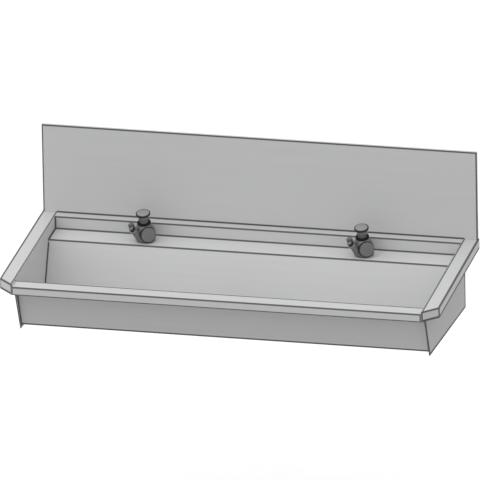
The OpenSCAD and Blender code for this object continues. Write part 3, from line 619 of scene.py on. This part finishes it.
def button_metal(name, colour, dark):
    """Push button: a pale turned dome inside a black rim, which runs on as painted shadow just
    below the disc, on a dark sleeve with painted shade at its foot.
    """
    finish = Finish(name, colour, Metallic=TAP_METALLIC)
    along, out = finish.from_axis(on_tap(finish), BELLY, -PRESS)
    foot = BUTTON_FOOT - BELLY.z
    on_dome = finish.ramp(along, foot + BUTTON_EDGE_H - DOME_STEP, foot + BUTTON_EDGE_H)
    dome = finish.ramp(out, *(BUTTON_R - inset for inset in DOME_RIM)) * on_dome
    # Painted shadow: the black rim runs on a little below the disc.
    rim = finish.ramp(along, foot - BUTTON_LINE, foot) * (1 - dome)
    # Painted shade: a dark ring at the foot of the sleeve.
    sleeve_foot_shade = ring_mark(finish, along, SLEEVE_FOOT - BELLY.z, SLEEVE_LINE)
    turned = 0.5 + 0.5 * (out * BUTTON_RINGS).sine()
    grain = finish.noise(BUTTON_GRAIN)
    pale = finish.mix(grain * 0.5 + turned * 0.5, *shades(colour, BUTTON_SHADES))
    sleeve = finish.mix(grain, *shades(dark, TAP_SHADES))
    metal = finish.mix(dome, sleeve, pale)
    finish.feed("Base Color", finish.mix(rim.greater(sleeve_foot_shade) * BUTTON_COVER, metal, BLACKED))
    finish.feed("Roughness", BUTTON_ROUGHNESS + grain * GRAIN_ROUGHNESS)
    finish.bump(turned * dome + grain, BUTTON_BUMP, TAP_ROUNDING)
    return finish


# ---- Finishes of the smaller pieces ----

# A tone has a share for each of two patterns, a roughness has its least and what a pattern adds,
# and a bump has its depth and the radius of the rounded edges.

RUBBER_GRAIN = (1500, 1500, 1500)
RUBBER_SHADES = 0.4
RUBBER_GLOSS = 0.2
RUBBER_ROUGHNESS = (0.7, 0.2)
RUBBER_BUMP = (0.00005, 0.0004)

PEBBLES = 180.0
PEBBLE_BUMP = 0.0006
FELT_ROUGHNESS = 0.85

SPANGLES = 110.0
ZINC_CLOUDS = (30, 30, 30)
ZINC_TONE = (0.6, 0.4)
ZINC_EDGE = 0.0012
ZINC_COVER = 0.7
ZINC_METALLIC = 0.5
ZINC_ROUGHNESS = (0.38, 0.18)
ZINC_BUMP = (0.00008, 0.0005)

TOOL_MARKS = (200, 200, 2500)
TOOL_STAINS = (80, 80, 80)
TURNED_TONE = (0.4, 0.6)
TURNED_DARKER = 0.35
TURNED_LIGHTER = 0.2
TURNED_EDGE = 0.0006
TURNED_COVER = 0.6
STAIN_ROUGHNESS = 0.15
TURNED_BUMP = (0.00003, 0.0004)
DULL = {"metallic": 0.5, "roughness": 0.4}


def black_rubber(name):
    """Moulded rubber with a fine matt grain."""
    finish = Finish(name, BLACKED, Specular_IOR_Level=RUBBER_GLOSS)
    grain = finish.noise(RUBBER_GRAIN, detail=3.0)
    least, added = RUBBER_ROUGHNESS
    finish.feed("Base Color", finish.mix(grain, *shades(BLACKED, RUBBER_SHADES)))
    finish.feed("Roughness", least + grain * added)
    finish.bump(grain, *RUBBER_BUMP)
    return finish


def sound_pad_felt(name):
    """Bitumen pad with a pebbled face."""
    finish = Finish(name, FELT, Roughness=FELT_ROUGHNESS)
    pebbles = {"Vector": finish.scaled(finish.place(), PEBBLES), "Scale": 1.0}
    pebble = finish.node("TexVoronoi", {"feature": "SMOOTH_F1"}, pebbles, "Distance")
    finish.feed("Base Color", finish.mix(pebble, FELT_TOPS, FELT_PITS))
    finish.bump(1 - pebble, PEBBLE_BUMP)
    return finish


def zinc_plate(name):
    """Galvanised steel with spangle."""
    least, added = ZINC_ROUGHNESS
    finish = Finish(name, ZINC, Metallic=ZINC_METALLIC, Roughness=least)
    spangles = {"Vector": finish.scaled(finish.place(), SPANGLES), "Scale": 1.0}
    cells = finish.node("TexVoronoi", {}, spangles, "Color")
    spangle = finish.node("SeparateColor", {}, {"Color": cells}, "Red")
    cloud = finish.noise(ZINC_CLOUDS)
    tone = spangle * ZINC_TONE[0] + cloud * ZINC_TONE[1]
    zinc = finish.mix(tone, DARK_ZINC, PALE_ZINC)
    # Painted shade on the sharp edges.
    finish.feed("Base Color", finish.mix(finish.edges(ZINC_EDGE) * ZINC_COVER, zinc, DARK))
    finish.feed("Roughness", least + spangle * added)
    finish.bump(cloud, *ZINC_BUMP)
    return finish


def turned_metal(name, colour, metallic=0.8, roughness=0.3):
    """Turned metal: fine tool marks round Z."""
    finish = Finish(name, colour, Metallic=metallic, Roughness=roughness)
    grain = finish.noise(TOOL_MARKS)
    stain = finish.noise(TOOL_STAINS, detail=3.0, shift=(4, 4, 2))
    darker, lighter = shades(colour, TURNED_DARKER)[0], shades(colour, TURNED_LIGHTER)[1]
    metal = finish.mix(grain * TURNED_TONE[0] + stain * TURNED_TONE[1], darker, lighter)
    # Painted shade on the sharp edges.
    finish.feed("Base Color", finish.mix(finish.edges(TURNED_EDGE) * TURNED_COVER, metal, DARK))
    finish.feed("Roughness", roughness + stain * STAIN_ROUGHNESS)
    finish.bump(grain, *TURNED_BUMP)
    return finish


# ---- Threads, welds and screens ----

UP = Vector((0, 0, 1))
THREAD_STEPS = 32
THREAD_DEPTH = 0.3
THREAD_CREST = 0.5
THREAD_PROFILE = ((-0.1, 0.95), (THREAD_CREST, 0.6), (THREAD_CREST, 0.4), (-0.1, 0.05))
FADE_TURNS = 0.25
BEAD_R = 0.0025
BEAD_RIPPLE = 0.004
BEAD_WAVE = 0.12
BEAD_END = 0.4
BEAD_STEPS = 6
BEAD_SIDES = 10
WIRE_R = 0.00018
WIRE_SIDES = 6
WIRE_PITCH = 0.0008
WIRE_PLACES = (-2, -1, 0, 1, 2)


def wound_thread(start, axis, length, radius, pitch):
    """Sections of a thread's ridge, wound round an axis from a start, with its ends faded out."""
    turn = axis.to_track_quat("Z", "Y").to_matrix()
    steps = round((length / pitch - 1) * THREAD_STEPS)
    depth = THREAD_DEPTH * pitch
    sections = []
    for step in range(steps + 1):
        angle = 2 * math.pi * step / THREAD_STEPS
        rise = pitch * step / THREAD_STEPS
        sunk = 1 - min(1.0, min(step, steps - step) / (THREAD_STEPS * FADE_TURNS))
        section = []
        for height, along in THREAD_PROFILE:
            out = radius + min(height, THREAD_CREST - sunk) * depth
            local = Vector((out * math.cos(angle), out * math.sin(angle), rise + along * pitch))
            section.append(start + turn @ local)
        sections.append(section)
    return sections


def round_section(centre, turn, radius, sides):
    """A ring of points round a centre."""
    section = []
    for side in range(sides):
        angle = 2 * math.pi * side / sides
        out = Vector((radius * math.cos(angle), radius * math.sin(angle), 0))
        section.append(centre + turn @ out)
    return section


def weld_bead(start, end):
    """Sections of a rippled bead of weld along a straight joint."""
    turn = (end - start).to_track_quat("Z", "Y").to_matrix()
    steps = round((end - start).length / BEAD_RIPPLE) * BEAD_STEPS
    sections = []
    for step in range(steps + 1):
        ripple = 1 - BEAD_WAVE + BEAD_WAVE * math.cos(2 * math.pi * step / BEAD_STEPS)
        taper = BEAD_END if step in (0, steps) else 1.0
        centre = start.lerp(end, step / steps)
        sections.append(round_section(centre, turn, BEAD_R * ripple * taper, BEAD_SIDES))
    return sections


def jet_screen(low, high):
    """Sections of the crossed wires over the mouth of a jet, from the box round the jet."""
    spout = heading(-SPOUT_TURN, SPOUT_RISE)
    mouth = low.lerp(high, 0.5) + spout * (JET_LENGTH / 2 - WIRE_R)
    level = spout.cross(UP).normalized()
    wires = []
    for along, across_by in ((level, spout.cross(level)), (spout.cross(level), level)):
        turn = along.to_track_quat("Z", "Y").to_matrix()
        for place in WIRE_PLACES:
            offset = place * WIRE_PITCH
            middle = mouth + across_by * offset
            half = along * math.sqrt(JET_BORE_R ** 2 - offset ** 2)
            ends = (middle - half, middle + half)
            wires.append([round_section(end, turn, WIRE_R, WIRE_SIDES) for end in ends])
    return wires


def add_piece(name, runs, finish):
    """A new piece that rides on the trough, skinned over runs of sections."""
    points, faces = [], []
    for sections in runs:
        first = len(points)
        sides = len(sections[0])
        points += [point for section in sections for point in section]
        last = len(points) - sides
        for here in range(first, last, sides):
            after = here + sides
            for side in range(sides):
                there = (side + 1) % sides
                faces.append((here + side, here + there, after + there, after + side))
        faces.append(tuple(range(first + sides - 1, first - 1, -1)))
        faces.append(tuple(range(last, last + sides)))
    mesh = bpy.data.meshes.new(name)
    mesh.from_pydata(points, [], faces)
    mesh.materials.append(finish.material)
    piece = bpy.data.objects.new(name, mesh)
    bpy.context.scene.collection.objects.link(piece)
    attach(piece, "trough")


# ---- Settings ----


class TroughSheetSettings(bpy.types.PropertyGroup):
    steel: bpy.props.FloatVectorProperty(
        name="Steel",
        description="Colour of the satin stainless sheet",
        default=(0.62, 0.622, 0.626),
        subtype="COLOR",
        min=0,
        max=1,
    )
    line_width: bpy.props.FloatProperty(
        name="Fold line",
        description="Width of the dark line along each fold",
        default=0.007,
        unit="LENGTH",
    )


class TroughTapSettings(bpy.types.PropertyGroup):
    body: bpy.props.FloatVectorProperty(
        name="Body",
        description="Colour of the tap's dark satin chrome",
        default=(0.2, 0.202, 0.206),
        subtype="COLOR",
        min=0,
        max=1,
    )
    hood: bpy.props.FloatVectorProperty(
        name="Hood",
        description="Colour of the hood behind the outlet",
        default=(0.32, 0.322, 0.326),
        subtype="COLOR",
        min=0,
        max=1,
    )
    jet: bpy.props.FloatVectorProperty(
        name="Jet",
        description="Colour of the jet in the outlet",
        default=(0.42, 0.422, 0.426),
        subtype="COLOR",
        min=0,
        max=1,
    )
    button: bpy.props.FloatVectorProperty(
        name="Button",
        description="Colour of the push button",
        default=(0.36, 0.362, 0.366),
        subtype="COLOR",
        min=0,
        max=1,
    )


class TroughStageSettings(bpy.types.PropertyGroup):
    floor_drop: bpy.props.FloatProperty(
        name="Height",
        description="Height of the end rims above the floor",
        default=0.85,
        unit="LENGTH",
    )
    ambient: bpy.props.FloatProperty(
        name="Ambient",
        description="Strength of the level part of the light from all round",
        default=0.52,
    )
    key: bpy.props.FloatProperty(
        name="Key",
        description="Strength of the soft lamp above and in front",
        default=0.2,
    )


# ---- Pieces ----


class TROUGH_OT_sheet_metal(bpy.types.Operator):
    """Gives the folded sheets, end panels and rims their satin finish and fold lines"""

    bl_idname = "trough.sheet_metal"
    bl_label = "Sheet metal"

    def execute(self, context):
        chosen = context.scene.trough_sheet
        steel, width = tuple(chosen.steel), chosen.line_width
        sheets = {
            "ledge": ("X", ledge_lines(), True, ("tap_ledge",)),
            "basin": ("X", basin_lines(), True, ("basin",)),
            "front_rim": ("X", front_rim_lines(), True, ("front_rim",)),
            "splashback": ("X", splashback_lines(), False, ("splashback",)),
            "end_rims": ("Y", end_rim_lines(), False, ("left_end_rim", "right_end_rim")),
        }
        for name, (grain, lines, welded, nodes) in sheets.items():
            give(satin_sheet("satin_" + name, steel, grain, lines, width, welded), *nodes)
        inner = end_joint(LEDGE_FOLDS[1:] + BASIN_ENDS[1:])
        outer = joined(panel_edge(PANEL_LINE_STEP, LINE_INSET))
        panels = satin_sheet(
            "satin_end_panels",
            steel,
            "Y",
            panel_lines(),
            width,
            by_face=(inner, outer),
            gloss=PANEL_GLOSS,
        )
        give(panels, "left_end_panel", "right_end_panel")
        return {"FINISHED"}


class TROUGH_OT_underside(bpy.types.Operator):
    """Finishes the brackets, studs, nuts and sound pads, and adds stud threads and floor welds"""

    bl_idname = "trough.underside"
    bl_label = "Brackets and pads"

    def execute(self, context):
        zinc = zinc_plate("zinc_plate")
        give(zinc, "left_wall_bracket", "right_wall_bracket")
        give(zinc, "stud_washers", "stud_nuts", "tap_back_plates")
        steel = turned_metal("stud_steel", STEEL)
        weld = turned_metal("weld_steel", STEEL, **DULL)
        give(steel, "floor_studs")
        give(sound_pad_felt("sound_pad_felt"), "sound_pads")
        down = Vector((0, -math.sin(FLOOR_FALL), -math.cos(FLOOR_FALL)))
        threads, beads = [], []
        stud_rows = [FACE_Y - depth for depth in (STUD_REAR_DEPTH, STUD_REAR_DEPTH + STUD_PITCH)]
        weld_ends = (FLOOR_FRONT_Y + 2 * FLOOR_FOLD_R, floor_rear()[0] - 2 * FLOOR_FOLD_R)

        def under_floor(x, y):
            return Vector((x, y, floor_z(y))) + down * SHEET_T

        for side in SIDES.values():
            for y in stud_rows:
                end = under_floor(side * STUD_X, y) + down * STUD_LENGTH
                threads.append(wound_thread(end, -down, STUD_BARE, STUD_R, STUD_THREAD))
            beads.append(weld_bead(*(under_floor(side * SHEET_X, y) for y in weld_ends)))
        add_piece("stud_threads", threads, steel)
        add_piece("floor_welds", beads, weld)
        return {"FINISHED"}


class TROUGH_OT_waste(bpy.types.Operator):
    """Finishes the waste, its grate, seal, washer and nut, and adds its thread"""

    bl_idname = "trough.waste"
    bl_label = "Waste"

    def execute(self, context):
        chrome = turned_metal("waste_chrome", STEEL)
        give(chrome, "waste_body", "waste_grate", "grate_screw")
        give(black_rubber("waste_rubber"), "waste_seal", "waste_washer")
        give(turned_metal("waste_brass", BRASS), "waste_nut")
        low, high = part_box("waste_body")
        middle = low.lerp(high, 0.5)
        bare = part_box("waste_nut")[0].z - TAIL_GROOVE - low.z
        start = Vector((middle.x, middle.y, low.z))
        thread = wound_thread(start, UP, bare, WASTE_TAIL_R, WASTE_THREAD)
        add_piece("waste_thread", [thread], chrome)
        return {"FINISHED"}


class TROUGH_OT_taps(bpy.types.Operator):
    """Finishes both taps, and adds their threads and jet screens"""

    bl_idname = "trough.taps"
    bl_label = "Taps"

    def execute(self, context):
        chosen = context.scene.trough_tap
        body = tap_metal("tap_chrome", tuple(chosen.body))
        hood = tap_metal("hood_chrome", tuple(chosen.hood))
        outlet = tap_metal("outlet_chrome", DARK)
        button = button_metal("button_chrome", tuple(chosen.button), tuple(chosen.body))
        rubber = black_rubber("tap_rubber")
        brass = turned_metal("tap_brass", BRASS)
        jet = turned_metal("jet_steel", tuple(chosen.jet), **DULL)
        for side, sign in SIDES.items():
            give(body, *(f"{side}_{part}" for part in ("tap_body", "front_cap", "valve_head")))
            give(hood, f"{side}_spout_hood")
            give(outlet, f"{side}_outlet_ring")
            give(rubber, *(f"{side}_{part}" for part in ("collar", "tap_seal", "tap_washer")))
            give(button, f"{side}_push_button")
            give(brass, *(f"{side}_{part}" for part in ("tap_nut", "valve_seat", "stem")))
            give(jet, f"{side}_jet", f"{side}_spring")
            tail_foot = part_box(f"{side}_tap_body")[0].z
            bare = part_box(f"{side}_tap_nut")[0].z - TAIL_GROOVE - tail_foot
            start = Vector((sign * TAP_X, TAP_Y, tail_foot))
            thread = wound_thread(start, UP, bare, TAP_TAIL_R, TAP_THREAD)
            wires = jet_screen(*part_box(f"{side}_jet"))
            add_piece(f"{side}_tap_thread", [thread], body)
            add_piece(f"{side}_jet_screen", wires, jet)
        return {"FINISHED"}


class TROUGH_OT_stage(bpy.types.Operator):
    """Makes the floor, the light and the camera"""

    bl_idname = "trough.stage"
    bl_label = "Stage"

    def execute(self, context):
        chosen = context.scene.trough_stage
        make_floor(RIM_Z - chosen.floor_drop)
        make_world(context.scene, chosen.ambient)
        make_key(chosen.key)
        make_camera(context.scene)
        context.scene.view_settings.view_transform = "Standard"
        return {"FINISHED"}


# ---- Stage ----

BLACK = (0, 0, 0)
FLOOR_REACH = 60.0
FLOOR_PALE = (0.55, 0.55, 0.55)
FLOOR_BOUNCE = (0.36, 0.36, 0.36)
FLOOR_GLOW = (0.5, 0.5, 0.5)
FROM_ABOVE = 0.41
FROM_FRONT = 0.22
FROM_LEFT = 0.7
KEY_SPREAD = math.radians(60)
KEY_TILT = math.radians(20)
VIEW_TURN = math.radians(13.02)
VIEW_RISE = math.radians(21.49)
VIEW_ROLL = math.radians(1.04)
VIEW_WIDTH = 1.2834
VIEW_FORWARD = 0.24
AIM = Vector((-0.05, -0.036, 0.0845))
LENS = 1500.0
SENSOR = 36.0
NEAREST = 1
FARTHEST = 200


def seen_ray(nodes):
    """1 for rays that show the background: the camera's, and those in gloss and glass."""
    path = nodes.add("LightPath").outputs
    camera, gloss, glass = (
        Value(nodes.tree, path[f"Is {kind} Ray"]) for kind in ("Camera", "Glossy", "Transmission")
    )
    return camera.greater(gloss).greater(glass)


def make_floor(height):
    """A pale floor that is white where it is seen, keeps the shadow, and clears from below."""
    corners = [(-1, -1), (1, -1), (1, 1), (-1, 1)]
    points = [(x * FLOOR_REACH, y * FLOOR_REACH, height) for x, y in corners]
    mesh = bpy.data.meshes.new("floor")
    mesh.from_pydata(points, [], [(0, 1, 2, 3)])
    floor = bpy.data.objects.new("floor", mesh)
    bpy.context.scene.collection.objects.link(floor)
    material = bpy.data.materials.new("pale_floor")
    material.use_nodes = True
    material.node_tree.nodes.clear()
    nodes = Nodes(material.node_tree)
    seen = seen_ray(nodes)
    pale = nodes.mix(seen, FLOOR_BOUNCE, FLOOR_PALE)
    matt = nodes.node("BsdfDiffuse", {}, {"Color": pale})
    glow = nodes.node("Emission", {}, {"Color": nodes.mix(seen, BLACK, FLOOR_GLOW)})
    lit = nodes.node("AddShader", {}, {0: matt, 1: glow})
    below = nodes.node("NewGeometry", output="Backfacing")
    shown = nodes.node("MixShader", {}, {0: below, 1: lit, 2: nodes.node("BsdfTransparent")})
    nodes.add("OutputMaterial", {}, {"Surface": shown})
    mesh.materials.append(material)


def make_world(scene, ambient):
    """Light from all round, stronger from above, in front and the left; white where it is seen."""
    world = bpy.data.worlds.new("studio")
    world.use_nodes = True
    scene.world = world
    nodes = Nodes(world.node_tree)
    x, y, z = nodes.split(nodes.node("TexCoord", output="Generated"))
    above, front, left = z.greater(0), (0 - y).greater(0), (0 - x).greater(0)
    lit = ambient + FROM_ABOVE * above + FROM_FRONT * front + FROM_LEFT * left
    seen = seen_ray(nodes)
    level = lit * (1 - seen) + seen
    background = nodes.tree.nodes["Background"]
    plug(nodes.tree, nodes.joined(level, level, level), background.inputs["Color"])


def make_key(strength):
    """A soft lamp above and a little in front."""
    lamp = bpy.data.lights.new("key", "SUN")
    lamp.energy = strength
    lamp.angle = KEY_SPREAD
    key = bpy.data.objects.new("key", lamp)
    key.rotation_euler = (KEY_TILT, 0, 0)
    bpy.context.scene.collection.objects.link(key)


def make_camera(scene):
    """A far camera with a long lens, which sees the view's width a little in front of its aim."""
    toward = heading(VIEW_TURN, VIEW_RISE)
    distance = VIEW_FORWARD + VIEW_WIDTH * LENS / SENSOR
    data = bpy.data.cameras.new("camera")
    data.lens = LENS
    data.sensor_width = SENSOR
    data.clip_start = NEAREST
    data.clip_end = FARTHEST
    camera = bpy.data.objects.new("camera", data)
    place = Matrix.Translation(AIM + toward * distance)
    turn = toward.to_track_quat("Z", "Y").to_matrix().to_4x4()
    camera.matrix_world = place @ turn @ Matrix.Rotation(-VIEW_ROLL, 4, "Z")
    scene.collection.objects.link(camera)
    scene.camera = camera


# ---- Panel and registration ----


class TROUGH_PT_panel(bpy.types.Panel):
    bl_idname = "TROUGH_PT_panel"
    bl_label = "Wash trough"
    bl_space_type = "VIEW_3D"
    bl_region_type = "UI"
    bl_category = "Wash trough"

    def draw(self, context):
        for name, group in GROUPS.items():
            for setting in group.__annotations__:
                self.layout.prop(getattr(context.scene, name), setting)
        for operator in OPERATORS:
            self.layout.operator(operator.bl_idname)


OPERATORS = (
    TROUGH_OT_sheet_metal,
    TROUGH_OT_underside,
    TROUGH_OT_waste,
    TROUGH_OT_taps,
    TROUGH_OT_stage,
)
GROUPS = {
    "trough_sheet": TroughSheetSettings,
    "trough_tap": TroughTapSettings,
    "trough_stage": TroughStageSettings,
}


def register():
    for name, group in GROUPS.items():
        bpy.utils.register_class(group)
        setattr(bpy.types.Scene, name, bpy.props.PointerProperty(type=group))
    for operator in OPERATORS:
        bpy.utils.register_class(operator)
    bpy.utils.register_class(TROUGH_PT_panel)


def unregister():
    bpy.utils.unregister_class(TROUGH_PT_panel)
    for operator in reversed(OPERATORS):
        bpy.utils.unregister_class(operator)
    for name, group in GROUPS.items():
        delattr(bpy.types.Scene, name)
        bpy.utils.unregister_class(group)


def main():
    register()
    bpy.ops.trough.sheet_metal()
    bpy.ops.trough.underside()
    bpy.ops.trough.waste()
    bpy.ops.trough.taps()
    bpy.ops.trough.stage()


if __name__ == "__main__":
    main()
